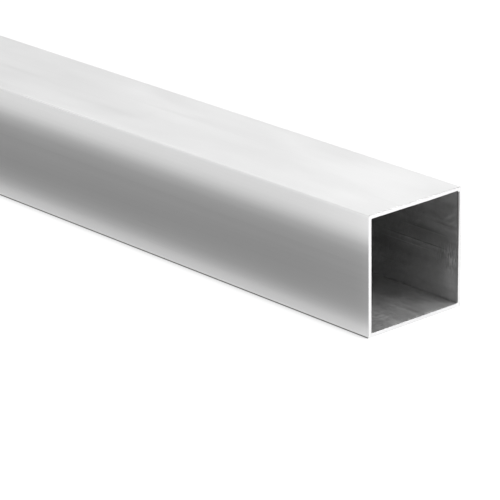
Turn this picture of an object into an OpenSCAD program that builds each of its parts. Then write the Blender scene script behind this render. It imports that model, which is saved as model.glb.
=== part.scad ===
// Square tube: one straight length of extruded metal stock, sawn square and open at both ends.
// It lies along X on the ground plane, centred over the origin, with +Z up.

/* [Section] */
// Outside width and height of the square section, mm
side = 50.8; // [20:0.1:120]
// Thickness of the four walls, mm
wall = 1.63; // [1.2:0.01:6]
// Radius along the four outside corners, mm
outside_corner = 0.5; // [0.4:0.05:3]
// Radius along the four inside corners, mm
inside_corner = 0.4; // [0.4:0.05:3]

/* [Cut length] */
// Length between the two sawn ends, mm
length = 1000; // [50:1:6000]
// Bevel that deburring leaves around the outside of each end, mm
outside_bevel = 0.2; // [0.05:0.01:0.35]
// Bevel that deburring leaves around each open mouth, mm
mouth_bevel = 0.15; // [0.05:0.01:0.35]

/* [Hidden] */

// Width and height of the hollow
hollow = side - 2 * wall;
// How far the hollow is cut past each end, so that the mouth opens cleanly
past_end = 1;
// Segments in a full turn of a corner
corner_segments = 64;

// Half of a lengthwise outline: a straight edge at reach from the X axis that turns in by bevel at
// each end at 45 degrees, or out where bevel is negative
function edge_points(reach, half_run, bevel) = [
    [-half_run, reach - bevel],
    [-half_run + abs(bevel), reach],
    [half_run - abs(bevel), reach],
    [half_run, reach - bevel]
];

// The same edge on both sides of the axis, as a closed outline
function bar_outline(reach, half_run, bevel) = concat(
    edge_points(reach, half_run, bevel),
    [for (p = edge_points(reach, half_run, bevel)) -p]
);

// Slab across the bar: its two outer faces are flats of the section, and width is the flats' width
module flats(size, width, run, bevel) {
    rotate([90, 0, 0])
        linear_extrude(height = width, center = true)
            polygon(bar_outline(size / 2, run / 2, bevel));
}

// Rod along X that rounds one corner of the section, with its ends coned to meet the flats' bevels
module corner_rod(radius, run, bevel) {
    rod_outline = concat(
        [[0, -run / 2]],
        [for (p = edge_points(radius, run / 2, bevel)) [p[1], p[0]]],
        [[0, run / 2]]
    );
    rotate([0, 90, 0])
        rotate_extrude($fn = corner_segments)
            polygon(rod_outline);
}

// Square bar with rounded corners, centred on the X axis
module rounded_bar(size, corner, run, bevel) {
    flat_width = size - 2 * corner;
    corner_centre = size / 2 - corner;
    union() {
        flats(size, flat_width, run, bevel);
        rotate([90, 0, 0])
            flats(size, flat_width, run, bevel);
        for (y = [-1, 1], z = [-1, 1])
            translate([0, y * corner_centre, z * corner_centre])
                corner_rod(corner, run, bevel);
    }
}

// The whole piece: the solid bar, less the hollow that runs through it and flares at both mouths
module tube() {
    color([0.87, 0.88, 0.88])
        translate([0, 0, side / 2])
            difference() {
                rounded_bar(side, outside_corner, length, outside_bevel);
                rounded_bar(hollow, inside_corner, length + 2 * past_end, -mouth_bevel - past_end);
            }
}

tube();
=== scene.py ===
import math

import bpy
import numpy as np
from mathutils import Matrix, Vector


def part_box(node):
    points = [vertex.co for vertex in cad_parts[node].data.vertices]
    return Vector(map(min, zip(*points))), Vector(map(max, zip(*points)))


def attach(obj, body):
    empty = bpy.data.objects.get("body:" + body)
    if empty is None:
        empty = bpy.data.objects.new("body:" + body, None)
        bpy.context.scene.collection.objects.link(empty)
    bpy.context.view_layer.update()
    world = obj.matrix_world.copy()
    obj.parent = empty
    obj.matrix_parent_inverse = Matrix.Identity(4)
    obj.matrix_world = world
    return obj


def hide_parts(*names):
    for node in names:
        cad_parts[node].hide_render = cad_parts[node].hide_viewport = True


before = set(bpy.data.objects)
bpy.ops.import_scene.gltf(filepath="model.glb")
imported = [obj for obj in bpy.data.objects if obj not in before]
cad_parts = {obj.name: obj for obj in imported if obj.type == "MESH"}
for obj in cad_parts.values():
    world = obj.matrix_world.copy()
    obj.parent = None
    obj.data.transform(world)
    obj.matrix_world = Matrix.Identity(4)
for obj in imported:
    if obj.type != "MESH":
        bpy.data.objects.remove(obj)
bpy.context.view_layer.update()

# Square tube: one sawn length of extruded aluminium, lying on a pale floor
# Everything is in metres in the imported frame: X along the tube, Z up, floor at z = 0

mm = 0.001
lowCorner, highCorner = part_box("tube")
tubeLength = highCorner.x - lowCorner.x
tubeSide = highCorner.z - lowCorner.z
frontEnd = highCorner.x
print("frame loaded: tube", round(tubeLength, 4), "by", round(tubeSide, 4))


def addObject(name, data):
    made = bpy.data.objects.new(name, data)
    bpy.context.scene.collection.objects.link(made)
    return made


def addMesh(name, points, faces):
    mesh = bpy.data.meshes.new(name)
    mesh.from_pydata(points, [], faces)
    return addObject(name, mesh)


# Camera

cameraSpec = {
    "focalPixels": 3000.0,    # focal length, in pixels of the 500 px picture
    "picturePixels": 500,
    "sensorWidth": 36.0,      # mm
    # where it stands, in metres
    "beyondMouth": 0.78731,   # past the front mouth, along X
    "beside": -0.77675,       # across, on the near side
    "above": 0.43628,
    # how it is turned, in degrees
    "heading": 138.749,       # from +X
    "lookDown": 20.137,
    "roll": -0.853,
}


def makeCamera(spec):
    # forward comes from heading and lookDown, and roll turns right and up about it
    heading, lookDown, roll = (math.radians(spec[k]) for k in ("heading", "lookDown", "roll"))
    forward = Vector((
        math.cos(heading) * math.cos(lookDown),
        math.sin(heading) * math.cos(lookDown),
        -math.sin(lookDown),
    ))
    levelRight = forward.cross(Vector((0, 0, 1))).normalized()
    levelUp = levelRight.cross(forward)
    right = math.cos(roll) * levelRight + math.sin(roll) * levelUp
    up = math.cos(roll) * levelUp - math.sin(roll) * levelRight
    data = bpy.data.cameras.new("camera")
    data.sensor_width = spec["sensorWidth"]
    data.lens = spec["focalPixels"] / spec["picturePixels"] * spec["sensorWidth"]
    camera = addObject("camera", data)
    camera.matrix_world = Matrix.Translation((
        frontEnd + spec["beyondMouth"], spec["beside"], spec["above"],
    )) @ Matrix((right, up, -forward)).transposed().to_4x4()
    bpy.context.scene.camera = camera


makeCamera(cameraSpec)
print("camera set")

# Tube

# walls are numbered round the section: far side +Y, top, near side -Y, bottom
farWall, topWall, nearWall, bottomWall = range(4)
# kinds of surface, in the order of the tube's materials
skinKind, sawnKind, hollowKind = range(3)

tubeSpec = {
    "wall": 1.63 * mm,
    "outsideCorner": 0.5 * mm,    # radius along the outside corners
    "insideCorner": 0.4 * mm,
    "outsideBreak": 0.2 * mm,     # rounding left round the outside of a sawn end
    "mouthBreak": 0.15 * mm,      # the same round the mouth
    "breakUneven": 0.4,           # share by which the file cut them wider and narrower
    # where round the mouth it cut wider still: place, half width, share
    "breakWide": (0.22, 0.13, 2.7),
    "sawDip": 0.05 * mm,          # how far the saw wandered from a true square cut
    # waves round the section, as their cycles and shifts, of the breaks and the saw cut
    "outsideWave": ((5, 17, 43, 71), (0.1, 0.7, 0.2, 0.5)),
    "mouthWave": ((7, 23, 53, 97), (0.4, 0.1, 0.8, 0.3)),
    "sawWave": ((1, 3, 8), (0.3, 0.6, 0.1)),
    "waveInCorner": 0.01,         # how far they run on in half a turn of a corner, in walls
    "hollowing": 0.04 * mm,       # how far the middle of each outside flat sinks
    # and how that changes along: steady share, swing, radians per metre, shift from wall to wall
    "hollowingWave": (0.7, 0.3, 9, 1.7),
    "flatSteps": 48,              # faces across one wall
    "columnGap": 0.01 * mm,       # least distance between two columns of the mesh
    "cornerSteps": 8,
    "runSteps": 84,               # faces along the length
    "breakSteps": 4,
    "rimSteps": 5,                # faces across the sawn rim
    # columns that a die line adds to the mesh, in its half widths from its middle
    "lineColumns": (-3.2, -2.7, -2.1, -1.5, -1, -0.5, 0, 0.5, 1, 1.2),
    # lip thrown up beside a die line: place and half width in its half widths, share of its depth
    "lineLip": (-2.1, 1.1, 0.5),
    "lineRise": 6,                # mm over which a die line begins
    "lineFall": 0.4,              # share of its stretch over which it ends
    "markDepth": 0.03 * mm,       # depth at which the finishes show it at full strength
    # lengthwise die lines, in mm: inside or outside, wall, place across the wall from its middle,
    # half width, depth (a ridge where negative), and from where to where, from the front mouth
    "dieLines": [
        ("inside", farWall, -2.6, 0.25, 0.030, 6, 46),
        ("inside", farWall, 3.1, 0.20, 0.015, 5, 34),
        ("inside", farWall, 7.6, 0.20, 0.018, 2, 15),
        ("inside", farWall, -5.3, 0.22, -0.018, 15, 50),
        ("inside", farWall, -15.0, 0.30, 0.010, 33, 46),
        ("inside", bottomWall, 6.0, 0.30, 0.010, 45, 260),
        ("inside", bottomWall, -11.0, 0.25, 0.008, 30, 400),
        ("inside", nearWall, 4.0, 0.30, 0.020, 3, 700),
        ("inside", topWall, -7.0, 0.30, 0.018, 5, 900),
        ("outside", topWall, -5.6, 0.30, 0.008, 60, 420),
        ("outside", topWall, 9.5, 0.25, 0.006, 140, 800),
        ("outside", nearWall, -4.0, 0.30, 0.008, 10, 990),
        ("outside", nearWall, 11.5, 0.25, 0.006, 150, 700),
        ("outside", farWall, 3.0, 0.30, 0.008, 40, 930),
        ("outside", bottomWall, -8.0, 0.30, 0.008, 20, 960),
    ],
}


def sectionTurn(spec):
    # one turn round a square section: wall number, place on the flat from -1 to 1, angle in the
    # corner; places on a flat crowd towards its ends as a sine, and the die lines add their own
    # columns, of which those that nearly coincide with another are dropped
    centre = tubeSide / 2 - spec["outsideCorner"]
    even = np.sin(np.linspace(-1, 1, spec["flatSteps"] + 1) * np.pi / 2)
    bend = np.linspace(0, np.pi / 2, spec["cornerSteps"] + 1)[1:-1]
    columns = np.array(spec["lineColumns"])
    sides, places, angles = [], [], []
    for wall in range(4):
        lines = [
            (at + half * columns) * mm / centre
            for _, lineWall, at, half, *_ in spec["dieLines"] if lineWall == wall
        ]
        flat = np.unique(np.concatenate([even, *lines]))
        flat = flat[np.append(np.diff(flat) * centre > spec["columnGap"], True)]
        places.append(np.concatenate([flat, np.ones(bend.size)]))
        angles.append(np.concatenate([np.zeros(flat.size), bend]))
        sides.append(np.full(places[-1].size, wall))
    return np.concatenate(sides), np.concatenate(places), np.concatenate(angles)


def handWave(share, cycles, shifts):
    # a closed hand-made unevenness round the section: mean of sines of whole cycles, from -1 to 1
    return sum(np.sin(2 * np.pi * (c * share + s)) for c, s in zip(cycles, shifts)) / len(cycles)


def wallLoop(spec, outsideBreak, mouthBreak):
    # the closed outline of the wall as a lengthwise cut shows it, for every place round the
    # section: x, half width and corner centre, where a quarter turn joins each rim to the outside
    # and to the mouth; with each row's kind of surface and whether painted shade may fall there
    outer = tubeSide / 2
    inner = outer - spec["wall"]
    outerCentre = outer - spec["outsideCorner"]
    innerCentre = inner - spec["insideCorner"]
    end = tubeLength / 2
    run = np.sin(np.linspace(-1, 1, spec["runSteps"] + 1) * np.pi / 2)[:, None]
    turn = np.linspace(0, np.pi / 2, spec["breakSteps"] + 1)[1:, None]
    across = np.linspace(0, 1, spec["rimSteps"] + 1)[1:, None]
    ob, mb = outsideBreak, mouthBreak

    def band(x, half, centre):
        shape = np.broadcast_shapes(np.shape(x), np.shape(half), np.shape(centre), ob.shape)
        return np.stack([np.broadcast_to(part, shape) for part in (x, half, centre)], axis=2)

    # from the back end along the outside to the front, over the front rim, back along the inside
    outside = band(run * (end - ob), outer, outerCentre)
    frontBreak = band(end - ob + ob * np.sin(turn), outer - ob + ob * np.cos(turn), outerCentre)
    rimHalf = (outer - ob) + across * (inner + mb - outer + ob)
    frontRim = band(end, rimHalf, outerCentre + across * (innerCentre - outerCentre))
    mouthHalf = inner + mb - mb * np.sin(turn)
    frontMouth = band(end - mb + mb * np.cos(turn), mouthHalf, innerCentre)
    inside = band(-run[1:] * (end - mb), inner, innerCentre)
    backMouth = frontMouth[-2::-1] * (-1, 1, 1)
    backRim = frontRim[::-1] * (-1, 1, 1)
    backBreak = frontBreak[::-1] * (-1, 1, 1)
    parts = [outside, frontBreak, frontRim, frontMouth, inside, backMouth, backRim, backBreak]
    rows = [len(part) for part in parts]
    kind = np.repeat([skinKind] + [sawnKind] * 3 + [hollowKind] + [sawnKind] * 3, rows)
    # painted shade falls on the mouths' breaks, and on the front rim's last row, where the break
    # begins
    mouth = np.repeat([0, 0, 0, 1, 0, 1, 0, 0], rows)
    mouth[sum(rows[:3]) - 1] = 1
    return np.concatenate(parts), kind[:, None], mouth[:, None]


def lineDepth(spec, surface, wall, across, x):
    # sum over the die lines of depth * (cos^2 across, less a lower lip beside it)
    # * rise and fall along, in metres into the metal
    inward = tubeLength / 2 - x
    lipAt, lipHalf, lipShare = spec["lineLip"]
    total = np.zeros(inward.shape)
    for where, lineWall, at, half, depth, start, stop in spec["dieLines"]:
        u = (across - at * mm) / (half * mm)
        groove = np.cos(np.clip(u, -1, 1) * np.pi / 2) ** 2
        lip = np.cos(np.clip((u - lipAt) / lipHalf, -1, 1) * np.pi / 2) ** 2
        rise = np.clip((inward - start * mm) / (spec["lineRise"] * mm), 0, 1)
        fall = np.clip((stop * mm - inward) / ((stop - start) * spec["lineFall"] * mm), 0, 1)
        here = (wall == lineWall) * (where == surface)
        total += depth * mm * (groove - lipShare * lip) * rise * fall * here
    return total


def tubeSurface(spec):
    # point = wall normal * (centre + r cos a) + wall tangent * (place * centre + r sin a), where
    # r = half - centre, with the section's turn on one grid axis and the wall's loop on the other;
    # both axes close on themselves
    wall, place, angle = sectionTurn(spec)
    # share of the way round the section, from 0 to 1
    share = (wall + place / 2 + 0.5 + angle / np.pi * spec["waveInCorner"]) / 4
    outsideUneven = spec["breakUneven"] * handWave(share, *spec["outsideWave"])
    mouthUneven = spec["breakUneven"] * handWave(share, *spec["mouthWave"])
    outsideBreak = spec["outsideBreak"] * (1 + outsideUneven)[None]
    mouthBreak = spec["mouthBreak"] * (1 + mouthUneven)[None]
    wideAt, wideHalf, wider = spec["breakWide"]
    wide = np.cos(np.clip((share - wideAt) / wideHalf, -1, 1) * np.pi / 2) ** 2
    mouthBreak += spec["mouthBreak"] * wider * wide
    loop, kind, mouth = wallLoop(spec, outsideBreak, mouthBreak)
    x, half, centre = loop[..., 0], loop[..., 1], loop[..., 2]
    # each end is short of square by a slow wave round the section
    dip = spec["sawDip"] * (0.5 + 0.5 * handWave(share, *spec["sawWave"]))[None]
    x = x * (1 - dip / (tubeLength / 2))
    radius = half - centre
    out = centre + radius * np.cos(angle)
    along = place * centre + radius * np.sin(angle)
    # flats sink a little between the corners, as a drawn wall does, more at some stretches
    steady, swing, pace, wallShift = spec["hollowingWave"]
    sinkAlong = steady + swing * np.sin(pace * x + wallShift * wall)
    sink = spec["hollowing"] * np.cos(place * np.pi / 2) ** 2 * sinkAlong
    outsideLines = lineDepth(spec, "outside", wall, along, x)
    insideLines = lineDepth(spec, "inside", wall, along, x)
    onSkin, inHollow = kind == skinKind, kind == hollowKind
    out = out - (sink + outsideLines) * onSkin + insideLines * inHollow
    turn = wall * np.pi / 2
    y = np.cos(turn) * out - np.sin(turn) * along
    z = np.sin(turn) * out + np.cos(turn) * along + tubeSide / 2
    values = {
        "cornerDistance": centre * (1 - np.abs(place)) * (angle == 0),
        # painted shade on the far wall's mouth breaks
        "mouthBreakShade": mouth * (wall == farWall) * (angle == 0),
        "endDistance": tubeLength / 2 - np.abs(x),
        # the die lines' depth: the finishes darken the grooves as dirt and painted shade, and
        # lighten the lips as a painted glint
        "dieDirtAndShade": np.where(inHollow, insideLines, outsideLines * onSkin) / spec["markDepth"],
    }
    return np.stack([x, y, z], axis=2), kind[:, 0], values


def gridFaces(rows, columns):
    # quads of a grid that closes on itself both ways
    a = np.arange(rows * columns).reshape(rows, columns)
    b = np.roll(a, -1, axis=1)
    c = np.roll(b, -1, axis=0)
    d = np.roll(a, -1, axis=0)
    return np.stack([a, b, c, d], axis=2).reshape(-1, 4)


def makeTube(spec):
    # the closed surface, with a finish for each face and the values that the finishes read
    points, kind, values = tubeSurface(spec)
    rows, columns = points.shape[:2]
    faces = gridFaces(rows, columns)
    mesh = bpy.data.meshes.new("squareTube")
    mesh.vertices.add(rows * columns)
    mesh.vertices.foreach_set("co", points.astype(np.float32).ravel())
    mesh.loops.add(faces.size)
    mesh.loops.foreach_set("vertex_index", faces.astype(np.int32).ravel())
    mesh.polygons.add(len(faces))
    mesh.polygons.foreach_set("loop_start", np.arange(0, faces.size, 4, dtype=np.int32))
    # a face is sawn where either of its rows is
    sawn = (kind == sawnKind) | (np.roll(kind, -1) == sawnKind)
    finish = np.where(sawn, sawnKind, kind).astype(np.int32)
    mesh.polygons.foreach_set("material_index", np.repeat(finish, columns))
    mesh.update(calc_edges=True)
    mesh.validate()
    mesh.shade_smooth()
    for name, value in values.items():
        layer = mesh.attributes.new(name, "FLOAT", "POINT")
        layer.data.foreach_set("value", value.astype(np.float32).ravel())
    return mesh


tubeMesh = makeTube(tubeSpec)
squareTube = addObject("squareTube", tubeMesh)
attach(squareTube, "root")
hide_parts("tube")
print("tube surface made:", len(tubeMesh.polygons), "faces")

# Node helpers


def addNode(tree, kind, inputs, **settings):
    # inputs maps a socket's name or number to a value, or to the output that feeds it
    made = tree.nodes.new("ShaderNode" + kind)
    for name, value in settings.items():
        setattr(made, name, value)
    for socket, value in inputs.items():
        if isinstance(value, bpy.types.NodeSocket):
            tree.links.new(value, made.inputs[socket])
        else:
            made.inputs[socket].default_value = value
    return made


def calc(tree, operation, *values):
    return addNode(tree, "Math", dict(enumerate(values)), operation=operation).outputs[0]


def spread(tree, value, fromLow, fromHigh, toLow=0.0, toHigh=1.0):
    # eases value from one range into another, and holds it inside
    return addNode(tree, "MapRange", {
        "Value": value,
        "From Min": fromLow,
        "From Max": fromHigh,
        "To Min": toLow,
        "To Max": toHigh,
    }, interpolation_type="SMOOTHSTEP").outputs["Result"]


def vectorCalc(tree, operation, *values):
    return addNode(tree, "VectorMath", dict(enumerate(values)), operation=operation)


def attribute(tree, name):
    return addNode(tree, "Attribute", {}, attribute_name=name).outputs["Fac"]


def objectPoint(tree):
    return addNode(tree, "TexCoord", {}).outputs["Object"]


def newGroup(name, inputs, output):
    # a group with one number out; its inputs are numbers, or vectors where their value has three
    tree = bpy.data.node_groups.new(name, "ShaderNodeTree")
    for label, value in inputs.items():
        kind = "NodeSocketVector" if isinstance(value, tuple) else "NodeSocketFloat"
        socket = tree.interface.new_socket(label, in_out="INPUT", socket_type=kind)
        socket.default_value = value
    tree.interface.new_socket(output, in_out="OUTPUT", socket_type="NodeSocketFloat")
    given = tree.nodes.new("NodeGroupInput").outputs
    put = tree.nodes.new("NodeGroupOutput").inputs[output]
    return tree, given, put


def placeGroup(tree, group, inputs):
    return addNode(tree, "Group", inputs, node_tree=group).outputs[0]


def newMaterial(name):
    material = bpy.data.materials.new(name)
    material.use_nodes = True
    tree = material.node_tree
    return material, tree, tree.nodes["Principled BSDF"]


# Effects that the finishes share

noVector = (0.0, 0.0, 0.0)
effectSpec = {
    "spotNoise": {"Scale": 2.5, "Detail": 3.0},      # makes a spot's outline ragged, per reach
    "wearAndShadeNoise": {"Scale": 260.0, "Detail": 3.0},    # breaks up an edge's wear and a corner's painted shade, per metre
    "wearAndShadeFull": 0.2,          # share of the reach up to which wear and painted shade are full where the noise is 0
}


def makeGrain():
    # noise with Scale cycles per metre along each axis; Low of it gives 0 and High gives 1
    tree, given, put = newGroup("grain", {
        "Vector": noVector, "Scale": (1.0, 1.0, 1.0), "Shift": 0.0, "Detail": 2.0, "Warp": 0.0,
        "Low": 0.3, "High": 0.7,
    }, "Grain")
    stretched = vectorCalc(tree, "MULTIPLY_ADD", given["Vector"], given["Scale"], given["Shift"])
    noise = addNode(tree, "TexNoise", {
        "Vector": stretched.outputs[0], "Scale": 1.0, "Detail": given["Detail"],
        "Distortion": given["Warp"],
    })
    tree.links.new(spread(tree, noise.outputs["Fac"], given["Low"], given["High"]), put)
    return tree


def makeSpot(spec):
    # soft egg-shaped place round Place: 1 in the middle, 0 past Reach along each axis, with a
    # ragged outline; Turn tilts it, as angles about X, Y and Z
    tree, given, put = newGroup("spot", {
        "Vector": noVector, "Place": noVector, "Turn": noVector, "Reach": (1.0, 1.0, 1.0),
        "Ragged": 0.0,
    }, "Spot")
    offset = vectorCalc(tree, "SUBTRACT", given["Vector"], given["Place"])
    turned = addNode(tree, "VectorRotate", {
        "Vector": offset.outputs[0], "Rotation": given["Turn"],
    }, rotation_type="EULER_XYZ", invert=True)
    scaled = vectorCalc(tree, "DIVIDE", turned.outputs[0], given["Reach"])
    noise = addNode(tree, "TexNoise", {"Vector": scaled.outputs[0], **spec["spotNoise"]})
    rough = calc(tree, "MULTIPLY", noise.outputs["Fac"], given["Ragged"])
    length = vectorCalc(tree, "LENGTH", scaled.outputs[0]).outputs["Value"]
    tree.links.new(spread(tree, calc(tree, "ADD", length, rough), 0.0, 1.0, 1.0, 0.0), put)
    return tree


def makeEdgeWearAndShade(spec):
    # wear along an outside edge, and painted shade along an inside corner: 1 at the edge, 0 beyond
    # Reach from it, broken up by noise
    tree, given, put = newGroup("edgeWearAndShade", {
        "Vector": noVector, "Distance": 0.0, "Reach": 1.0 * mm, "Ragged": 0.6,
    }, "WearAndShade")
    share = calc(tree, "DIVIDE", given["Distance"], given["Reach"])
    noise = addNode(tree, "TexNoise", {"Vector": given["Vector"], **spec["wearAndShadeNoise"]})
    rough = calc(tree, "MULTIPLY", noise.outputs["Fac"], given["Ragged"])
    total = calc(tree, "ADD", share, rough)
    tree.links.new(spread(tree, total, spec["wearAndShadeFull"], 1.0, 1.0, 0.0), put)
    return tree


grain, spot, edgeWearAndShade = makeGrain(), makeSpot(effectSpec), makeEdgeWearAndShade(effectSpec)


def placeGrain(tree, point, look):
    return placeGroup(tree, grain, {"Vector": point, **look})


def placeSpot(tree, point, middle, reach, ragged, tilt=0.0):
    # middle is in mm: from the front mouth, across, and height; reach is the half size along
    # each axis; tilt, in degrees, turns it in the plane of a side wall, its front end up
    inward, across, height = middle
    return placeGroup(tree, spot, {
        "Vector": point,
        "Place": (frontEnd - inward * mm, across * mm, height * mm),
        "Turn": (0, -math.radians(tilt), 0),
        "Reach": tuple(r * mm for r in reach),
        "Ragged": ragged,
    })


print("shared effects made")

# Finishes
# In each, a noise is given by the grain group's inputs; a tone is the share by which it changes the
# grey, and a rough is what it adds to the roughness


def tint(tree, grey, parts):
    # grey * product of (1 + amount * (value - middle)) over the parts
    total = grey
    for value, amount, middle in parts:
        factor = calc(tree, "MULTIPLY_ADD", value, amount, 1 - amount * middle)
        total = calc(tree, "MULTIPLY", total, factor)
    return total


def shift(tree, base, parts):
    # base + sum of amount * (value - middle) over the parts
    total = base
    for value, amount, middle in parts:
        step = calc(tree, "MULTIPLY_ADD", value, amount, -amount * middle)
        total = calc(tree, "ADD", total, step)
    return total


def bareMetal(tree, shader, grey, roughness, height, distance):
    shader.inputs["Metallic"].default_value = 1
    tree.links.new(grey, shader.inputs["Base Color"])
    tree.links.new(roughness, shader.inputs["Roughness"])
    bump = addNode(tree, "Bump", {"Height": height, "Distance": distance})
    tree.links.new(bump.outputs["Normal"], shader.inputs["Normal"])


skinSpec = {
    "grey": 0.90,
    "roughness": 0.38,
    "line": {"Scale": (2.0, 1000.0, 1000.0), "Shift": 3.1, "Detail": 3.0},    # fine die lines
    "lineTone": 0.016,
    "lineRough": 0.06,
    "lineHeight": 0.004 * mm,
    "band": {"Scale": (1.5, 140.0, 140.0), "Shift": 7.7},     # broader lengthwise bands
    "bandTone": 0.012,
    # handling smudges and oxide bloom
    "cloud": {"Scale": (16.0, 55.0, 55.0), "Shift": 1.9, "Detail": 4.0, "Warp": 0.6},
    "cloudTone": -0.014,
    "cloudRough": 0.05,
    "scratch": {"Scale": (22.0, 1500.0, 1500.0), "Shift": 11.3, "Low": 0.66, "High": 0.74},
    "scratchTone": -0.03,
    "edgeReach": 1.6 * mm,    # corners rub bright
    "edgeTone": 0.03,
    "edgeRough": -0.08,
    "dieDirtAndShadeTone": -0.1,         # dirt and painted shade in the deeper die lines, and a painted glint on the lips beside them
    # soft streaks and clouds on the top, and the painted highlight along its near edge; in mm: from
    # the front mouth, across, half length, half width, tone
    "streaksAndHighlights": [
        (26, -15.0, 60, 16.0, 0.065),
        (2, 12.0, 34, 22.0, -0.065),
        (153, 6.4, 42, 3.0, -0.055),
        (178, -10.0, 50, 7.0, -0.050),
        (255, -3.0, 42, 3.5, -0.050),
        (250, 12.0, 90, 16.0, -0.045),
        (240, 0.0, 130, 30.0, -0.035),
        # lighter strips along the near edge: a painted highlight
        (150, -23.5, 120, 6.0, 0.030),
        (28, -23.0, 46, 5.0, 0.045),
    ],
    "streakHigh": 1,          # mm that they reach above and below the top
    "streakRagged": 0.4,
}


def millSkin(spec):
    material, tree, shader = newMaterial("millSkin")
    point = objectPoint(tree)
    line = placeGrain(tree, point, spec["line"])
    band = placeGrain(tree, point, spec["band"])
    cloud = placeGrain(tree, point, spec["cloud"])
    scratch = placeGrain(tree, point, spec["scratch"])
    edge = placeGroup(tree, edgeWearAndShade, {
        "Vector": point, "Distance": attribute(tree, "cornerDistance"), "Reach": spec["edgeReach"],
    })
    parts = [
        (line, spec["lineTone"], 0.5),
        (band, spec["bandTone"], 0.5),
        (cloud, spec["cloudTone"], 0.5),
        (scratch, spec["scratchTone"], 0),
        (edge, spec["edgeTone"], 0),
        # dirt and painted shade in the die grooves, and a painted glint on their lips
        (attribute(tree, "dieDirtAndShade"), spec["dieDirtAndShadeTone"], 0),
    ]
    # streaks and clouds, and the near edge's painted highlight
    for inward, across, halfLength, halfWidth, tone in spec["streaksAndHighlights"]:
        middle = (inward, across, tubeSide / mm)
        reach = (halfLength, halfWidth, spec["streakHigh"])
        parts.append((placeSpot(tree, point, middle, reach, spec["streakRagged"]), tone, 0))
    grey = tint(tree, spec["grey"], parts)
    roughness = shift(tree, spec["roughness"], [
        (line, spec["lineRough"], 0.5),
        (cloud, spec["cloudRough"], 0.5),
        (edge, spec["edgeRough"], 0),
    ])
    bareMetal(tree, shader, grey, roughness, line, spec["lineHeight"])
    return material


endSpec = {
    "grey": 0.83,
    "roughness": 0.42,
    "sawCentre": (0, -120.0 * mm, 160.0 * mm),   # where the saw's axis stood, off the section
    "tooth": {"Scale": (1500.0, 1.0, 1.0), "Detail": 3.0},   # arcs, along the distance from it
    "toothTone": 0.05,
    "toothRough": 0.12,
    "toothHeight": 0.008 * mm,
    "bloom": {"Scale": (300.0, 300.0, 300.0), "Detail": 3.0},
    "bloomTone": 0.03,
    "mouthBreakShadeTone": -0.72,                         # painted shade on the far wall's mouth break
    # darker stretches of the front rim, along its bottom and up the far wall, in mm: from the front
    # mouth, across, height, half length, half width, half height, tone
    "rimDarker": [
        (0, 0.0, 0.8, 9, 70, 6, -0.10),
        (0, 24.6, 22.0, 9, 5, 50, -0.05),
    ],
    "rimDarkerRagged": 0.3,
}


def sawnEnd(spec):
    # arcs of a round saw: noise read at the distance from the saw's axis
    material, tree, shader = newMaterial("sawnEnd")
    point = objectPoint(tree)
    offset = vectorCalc(tree, "SUBTRACT", point, spec["sawCentre"]).outputs[0]
    flat = vectorCalc(tree, "MULTIPLY", offset, (0, 1, 1)).outputs[0]
    radius = vectorCalc(tree, "LENGTH", flat).outputs["Value"]
    arcs = addNode(tree, "CombineXYZ", {"X": radius}).outputs[0]
    tooth = placeGrain(tree, arcs, spec["tooth"])
    parts = [
        (tooth, spec["toothTone"], 0.5),
        (placeGrain(tree, point, spec["bloom"]), spec["bloomTone"], 0.5),
        # painted shade on the far wall's mouth break
        (attribute(tree, "mouthBreakShade"), spec["mouthBreakShadeTone"], 0),
    ]
    for inward, across, height, *reach, tone in spec["rimDarker"]:
        middle = (inward, across, height)
        parts.append((placeSpot(tree, point, middle, reach, spec["rimDarkerRagged"]), tone, 0))
    grey = tint(tree, spec["grey"], parts)
    roughness = shift(tree, spec["roughness"], [(tooth, spec["toothRough"], 0.5)])
    bareMetal(tree, shader, grey, roughness, tooth, spec["toothHeight"])
    return material


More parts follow.
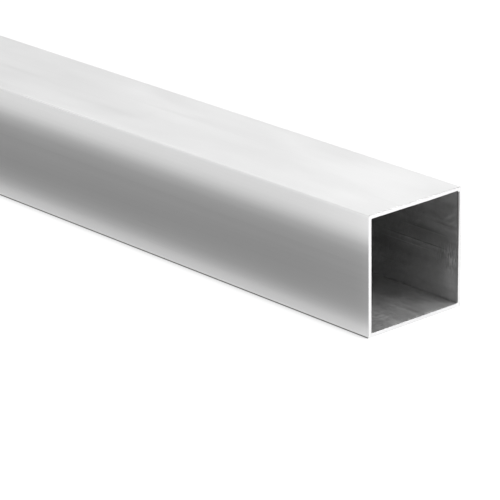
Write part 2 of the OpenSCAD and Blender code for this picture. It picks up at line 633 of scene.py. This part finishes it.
hollowSpec = {
    # darker and duller than the outside's grey: partly the inside's own finish, partly painted
    # shade
    "grey": 0.56,
    "roughness": 0.55,
    "line": {"Scale": (5.0, 900.0, 900.0), "Shift": 5.3, "Detail": 3.0},
    "lineTone": 0.04,
    "lineRough": 0.06,
    "lineHeight": 0.003 * mm,
    "stain": {"Scale": (75.0, 90.0, 90.0), "Shift": 2.7, "Detail": 4.0, "Warp": 0.8},
    "stainTone": -0.12,
    "stainRough": 0.08,
    "fleck": {"Scale": (420.0, 420.0, 420.0), "Shift": 8.1, "Detail": 3.0},
    "fleckTone": 0.06,
    "dieDirtAndShadeTone": -0.5,          # dirt and painted shade in the deeper die lines, and a painted glint on the lips beside them
    "cornerReach": 3.5 * mm,   # painted shade along the inside corners
    "cornerRagged": 0.5,
    "cornerTone": -0.06,
    "cornerClear": 45 * mm,    # how far in from the mouth the painted shade has grown to its full strength
    # lighter and darker patches, in mm: from the front mouth, across, height,
    # half length, half width, half height, tone, raggedness, tilt in degrees
    "patches": [
        # on the far wall
        (25, 23.8, 4.0, 60, 4, 15, 0.15, 0.3, 0),
        (58, 23.8, 14.0, 22, 4, 36, 0.60, 0.3, 0),
        (13, 23.8, 27.0, 30, 4, 9, -0.15, 0.3, 0),
        (28, 23.8, 32.0, 8, 3, 4, -0.20, 0.5, -10),
        (19, 23.8, 39.5, 13, 3, 6, 0.30, 0.5, 0),
        (46, 23.8, 8.0, 13, 3, 15, 0.16, 0.3, 0),
        (4.5, 23.8, 10.0, 9, 3, 16, 0.36, 0.4, 0),
        (5.0, 23.8, 37.0, 6, 2, 1.4, 0.40, 0.3, 32),      # wisps
        (3.4, 23.8, 34.8, 4, 2, 1.2, 0.25, 0.3, 32),
        (5.0, 23.8, 41.5, 9, 2, 3.0, -0.16, 0.5, 8),
        (1.0, 23.8, 47.0, 8, 2, 4.0, 0.16, 0.4, 8),
        (8.0, 23.8, 45.5, 19, 2, 5.5, 0.34, 0.3, 8),
        (0.5, 23.8, 34.0, 4, 2, 24.0, 0.24, 0.2, 0),
        # on the bottom: the darker two are a painted shadow beside the far wall, the lighter three
        # a painted pool of light inside the mouth
        (26, 12.0, 1.6, 11, 9, 3, -0.28, 0.4, 0),
        (14, 14.0, 1.6, 9, 6, 3, -0.20, 0.4, 0),
        (20, -5.0, 1.6, 9, 10, 3, 0.26, 0.4, 0),
        (2, -10.0, 1.6, 8, 15, 3, 0.50, 0.5, 0),
        (1, 8.0, 1.6, 7, 16, 3, 0.24, 0.5, 0),
    ],
    # fields of short scrape strokes: the same six places and sizes, tone, and the noise's scale
    "strokes": [
        (3.6, 23.8, 19.5, 7.5, 2, 11, 0.76, (1500.0, 260.0, 260.0)),
        (9.0, 23.8, 20.5, 7, 2, 8, -0.30, (1700.0, 300.0, 300.0)),
        (10.0, -9.0, 1.6, 11, 14, 2, 0.34, (500.0, 260.0, 260.0)),
        (4.0, -15.0, 1.6, 6, 9, 2, -0.30, (520.0, 300.0, 300.0)),
        (0.0, 3.0, 1.6, 2.6, 30, 2, 1.30, (500.0, 600.0, 600.0)),
    ],
    "stroke": {"Shift": 0.7, "Low": 0.42, "High": 0.6},
    "strokeRagged": 0.3,
}


def hollowSkin(spec):
    material, tree, shader = newMaterial("hollowSkin")
    point = objectPoint(tree)
    line = placeGrain(tree, point, spec["line"])
    stain = placeGrain(tree, point, spec["stain"])
    # painted shade along the inside corners, growing from none at the mouths to full at cornerClear
    cornerShade = placeGroup(tree, edgeWearAndShade, {
        "Vector": point, "Distance": attribute(tree, "cornerDistance"),
        "Reach": spec["cornerReach"], "Ragged": spec["cornerRagged"],
    })
    deep = spread(tree, attribute(tree, "endDistance"), 0, spec["cornerClear"])
    parts = [
        (line, spec["lineTone"], 0.5),
        (stain, spec["stainTone"], 0.5),
        (placeGrain(tree, point, spec["fleck"]), spec["fleckTone"], 0.5),
        (calc(tree, "MULTIPLY", cornerShade, deep), spec["cornerTone"], 0),
        # dirt and painted shade in the die grooves, and a painted glint on their lips
        (attribute(tree, "dieDirtAndShade"), spec["dieDirtAndShadeTone"], 0),
    ]
    # patches, among them the painted shadow and painted pool of light on the bottom
    for inward, across, height, *reach, tone, ragged, tilt in spec["patches"]:
        middle = (inward, across, height)
        parts.append((placeSpot(tree, point, middle, reach, ragged, tilt), tone, 0))
    for inward, across, height, *reach, tone, scale in spec["strokes"]:
        field = placeSpot(tree, point, (inward, across, height), reach, spec["strokeRagged"])
        stroke = placeGrain(tree, point, {"Scale": scale, **spec["stroke"]})
        parts.append((calc(tree, "MULTIPLY", field, stroke), tone, 0))
    grey = tint(tree, spec["grey"], parts)
    roughness = shift(tree, spec["roughness"], [
        (line, spec["lineRough"], 0.5),
        (stain, spec["stainRough"], 0.5),
    ])
    bareMetal(tree, shader, grey, roughness, line, spec["lineHeight"])
    return material


for material in (millSkin(skinSpec), sawnEnd(endSpec), hollowSkin(hollowSpec)):
    tubeMesh.materials.append(material)
print("finishes made")

# Floor

floorSpec = {
    "size": 80.0,
    "grey": 0.25,
    "roughness": 0.8,
    "glow": 0.95,            # it is lit from beneath, so that shadows on it stay faint
    # shares of the glow that the tube takes at its foot, and how far out each fades
    "contactShades": [(0.45, 2.2 * mm), (0.55, 0.25 * mm)],
    "contactFront": 6.0,     # how much quicker they fade past the ends
    "contactGap": 2.0 * mm,  # and how far they have already faded at the very end
}


def makeFloor(spec):
    half = spec["size"] / 2
    corners = [(-half, -half, 0), (half, -half, 0), (half, half, 0), (-half, half, 0)]
    floor = addMesh("floor", corners, [(0, 1, 2, 3)])
    material, tree, shader = newMaterial("paleFloor")
    shader.inputs["Base Color"].default_value = (spec["grey"], spec["grey"], spec["grey"], 1)
    shader.inputs["Roughness"].default_value = spec["roughness"]
    # glow = 1 - sum of share * e^(-distance outside the tube's foot / reach), none under the tube
    mirrored = vectorCalc(tree, "ABSOLUTE", objectPoint(tree)).outputs[0]
    split = addNode(tree, "SeparateXYZ", {"Vector": mirrored}).outputs
    pastEnd = calc(tree, "SUBTRACT", split["X"], tubeLength / 2)
    pastEnd = calc(tree, "MULTIPLY_ADD", pastEnd, spec["contactFront"], spec["contactGap"])
    outside = calc(tree, "MAXIMUM", pastEnd, calc(tree, "SUBTRACT", split["Y"], tubeSide / 2))
    glow = 1
    for share, reach in spec["contactShades"]:
        fall = calc(tree, "EXPONENT", calc(tree, "DIVIDE", outside, -reach))
        glow = calc(tree, "MULTIPLY_ADD", fall, -share, glow)
    glow = calc(tree, "MAXIMUM", glow, 0)
    tree.links.new(glow, shader.inputs["Emission Color"])
    shader.inputs["Emission Strength"].default_value = spec["glow"]
    floor.data.materials.append(material)


makeFloor(floorSpec)
print("floor laid")

# Light


def direction(heading, rise):
    # unit vector, from degrees turned from +X and degrees above level
    heading, rise = math.radians(heading), math.radians(rise)
    level = math.cos(rise)
    return Vector((math.cos(heading) * level, math.sin(heading) * level, math.sin(rise)))


skySpec = {
    "overhead": 0.28,        # brightness straight up
    "ring": 0.45,            # added at the horizon, all round
    # bright sides: heading from +X and rise in degrees, brightness added at the middle, tightness
    "sides": [
        (124.0, 22.0, 0.88, 14.0),
        (205.0, 40.0, 0.60, 4.0),
    ],
    "backdrop": 1.1,         # what the camera sees above the floor's edge
}


def makeSky(spec):
    # brightness = overhead + ring * (1 - height)^2 + sum over the bright sides of
    # gain * max(0, direction . side) ^ tightness
    world = bpy.data.worlds.new("studio")
    world.use_nodes = True
    tree = world.node_tree
    look = addNode(tree, "TexCoord", {}).outputs["Generated"]
    height = addNode(tree, "SeparateXYZ", {"Vector": look}).outputs["Z"]
    low = calc(tree, "SUBTRACT", 1, calc(tree, "MAXIMUM", height, 0))
    total = calc(tree, "MULTIPLY_ADD", calc(tree, "POWER", low, 2), spec["ring"], spec["overhead"])
    for heading, rise, gain, tightness in spec["sides"]:
        side = direction(heading, rise)
        facing = vectorCalc(tree, "DOT_PRODUCT", look, side).outputs["Value"]
        lobe = calc(tree, "POWER", calc(tree, "MAXIMUM", facing, 0), tightness)
        total = calc(tree, "MULTIPLY_ADD", lobe, gain, total)
    seen = addNode(tree, "LightPath", {}).outputs["Is Camera Ray"]
    total = calc(tree, "MAXIMUM", total, calc(tree, "MULTIPLY", seen, spec["backdrop"]))
    background = tree.nodes["Background"]
    tree.links.new(total, background.inputs["Strength"])
    background.inputs["Color"].default_value = (1, 1, 1, 1)
    # so soft a sky needs no rays aimed at its bright sides
    world.cycles.sampling_method = "NONE"
    bpy.context.scene.world = world


# small round light that shines down into the front mouth from its far side, and the flag that
# keeps it off the tube's top; lengths are in metres but for the flag's first two
keySpec = {
    "away": 0.2,
    "heading": 38.0,         # degrees from +X
    "rise": 56.0,
    "width": 0.12,
    "power": 0.42,
    "flagPast": 0.3,         # mm from the front end to the flag
    "flagAbove": 0.38,       # mm from the top to the flag's lower edge
    "flagSize": 0.35,        # up, and to either side
}


def makeKeyLight(spec):
    toLight = direction(spec["heading"], spec["rise"])
    light = bpy.data.lights.new("keyLight", "AREA")
    light.shape = "DISK"
    light.size = spec["width"]
    light.energy = spec["power"]
    # lit from the surfaces' side only: rays that meet the disc by chance would add specks
    light.cycles.use_multiple_importance_sampling = False
    lamp = addObject("keyLight", light)
    lamp.location = Vector((frontEnd, 0, tubeSide / 2)) + toLight * spec["away"]
    lamp.rotation_euler = (-toLight).to_track_quat("-Z", "Y").to_euler()
    lamp.visible_camera = False


def makeFlag(spec):
    x = frontEnd + spec["flagPast"] * mm
    low, size = tubeSide + spec["flagAbove"] * mm, spec["flagSize"]
    corners = [(x, y, z) for z in (low, low + size) for y in (-size, size)]
    flag = addMesh("flag", corners, [(0, 1, 3, 2)])
    flag.visible_camera = False
    flag.visible_diffuse = False
    flag.visible_glossy = False


# graded card beside each long side, which shows only in the gloss; all in mm
cardSpec = {
    "away": (6.0, 3.0),      # from the near side and the far
    "past": (14.0, 1.5),     # past the front end, where a long one on the far side dulls the rim
    "behind": 14.0,          # past the back end
    "tones": [               # height and brightness
        (0, 0.66), (1, 0.58), (3, 0.41), (7, 0.295), (15, 0.25), (23, 0.27),
        (29, 0.30), (33, 0.33), (37, 0.55), (41, 0.78), (46, 0.80), (52, 0.80),
    ],
    "foot": 0.2,             # height of the foot that reaches in towards the tube
    "gap": 1.0,              # between that foot and the tube
    "fade": (55, 0.92),      # how far behind the front mouth it has fallen to this share
    "rise": (11, 5, 0.060),  # behind the mouth, where it begins and ends to lighten; by how much
}


def makeCards(spec):
    # upright cards with a foot, dark low down and light towards the top, that only glossy rays see
    material, tree, shader = newMaterial("gradedCard")
    split = addNode(tree, "SeparateXYZ", {"Vector": objectPoint(tree)}).outputs
    tones = spec["tones"]
    top = tones[-1][0] * mm
    ramp = addNode(tree, "ValToRGB", {"Fac": calc(tree, "DIVIDE", split["Z"], top)})
    # a new ramp has two stops, and the rest are added at its end
    stops = ramp.color_ramp.elements
    for number, (level, tone) in enumerate(tones):
        stop = stops[number] if number < 2 else stops.new(1.0)
        stop.position = level * mm / top
        stop.color = (tone, tone, tone, 1)
    back, share = spec["fade"]
    fade = spread(tree, split["X"], frontEnd - back * mm, frontEnd, share, 1.0)
    begin, finish, gain = spec["rise"]
    rise = spread(tree, split["X"], frontEnd - begin * mm, frontEnd - finish * mm, 0.0, gain)
    glow = calc(tree, "MULTIPLY_ADD", ramp.outputs["Color"], fade, rise)
    shader.inputs["Base Color"].default_value = (0, 0, 0, 1)
    shader.inputs["Specular IOR Level"].default_value = 0
    tree.links.new(glow, shader.inputs["Emission Color"])
    shader.inputs["Emission Strength"].default_value = 1
    foot = spec["foot"] * mm
    for sign, away, past in zip((-1, 1), spec["away"], spec["past"]):
        ends = (-tubeLength / 2 - spec["behind"] * mm, frontEnd + past * mm)
        wall = sign * tubeSide / 2
        upright = wall + sign * away * mm
        outline = [(wall + sign * spec["gap"] * mm, foot), (upright, foot), (upright, top)]
        corners = [(x, y, z) for y, z in outline for x in ends]
        card = addMesh("gradedCard", corners, [(0, 1, 3, 2), (2, 3, 5, 4)])
        card.data.materials.append(material)
        card.visible_camera = False
        card.visible_diffuse = False
        card.visible_shadow = False


makeSky(skySpec)
makeKeyLight(keySpec)
makeFlag(keySpec)
makeCards(cardSpec)
# colours as they are, without a film curve
bpy.context.scene.view_settings.view_transform = "Standard"
print("studio set")
